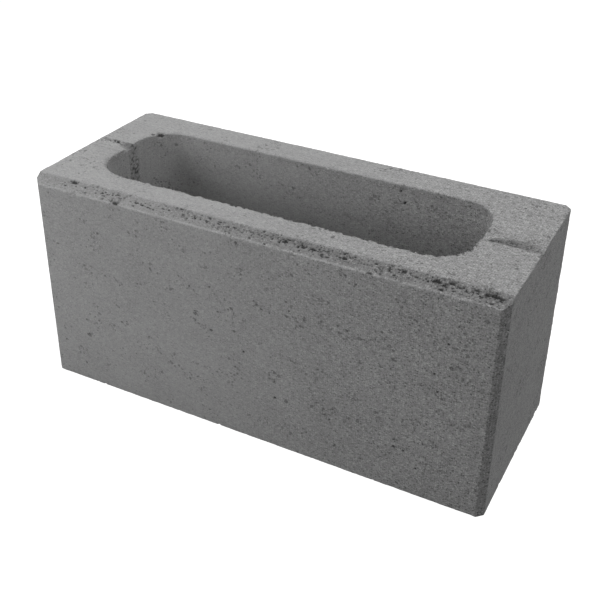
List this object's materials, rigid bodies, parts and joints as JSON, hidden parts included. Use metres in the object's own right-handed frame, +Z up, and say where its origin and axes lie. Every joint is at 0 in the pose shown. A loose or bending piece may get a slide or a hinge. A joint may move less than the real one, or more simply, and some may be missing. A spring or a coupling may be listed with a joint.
{
  "type": "hollow concrete block",
  "caption": "Grey dry-cast masonry block with a long slot core right through it, a chamfered top front edge and a shallow trough across each end web.",
  "frame": {"origin": "middle of the block's outline on its bottom bed", "axes": "+X along the length towards the thicker end web, +Y through the depth from the chamfered face to the back, +Z up through the core"},
  "size_m": [0.4, 0.16, 0.19],
  "materials": {
    "concrete": "dry-cast concrete, matte and fine-grained, with scattered pores and a coarser open chamfer"
  },
  "bodies": {
    "root": {"concrete_block": "concrete"}
  },
  "joints": []
}
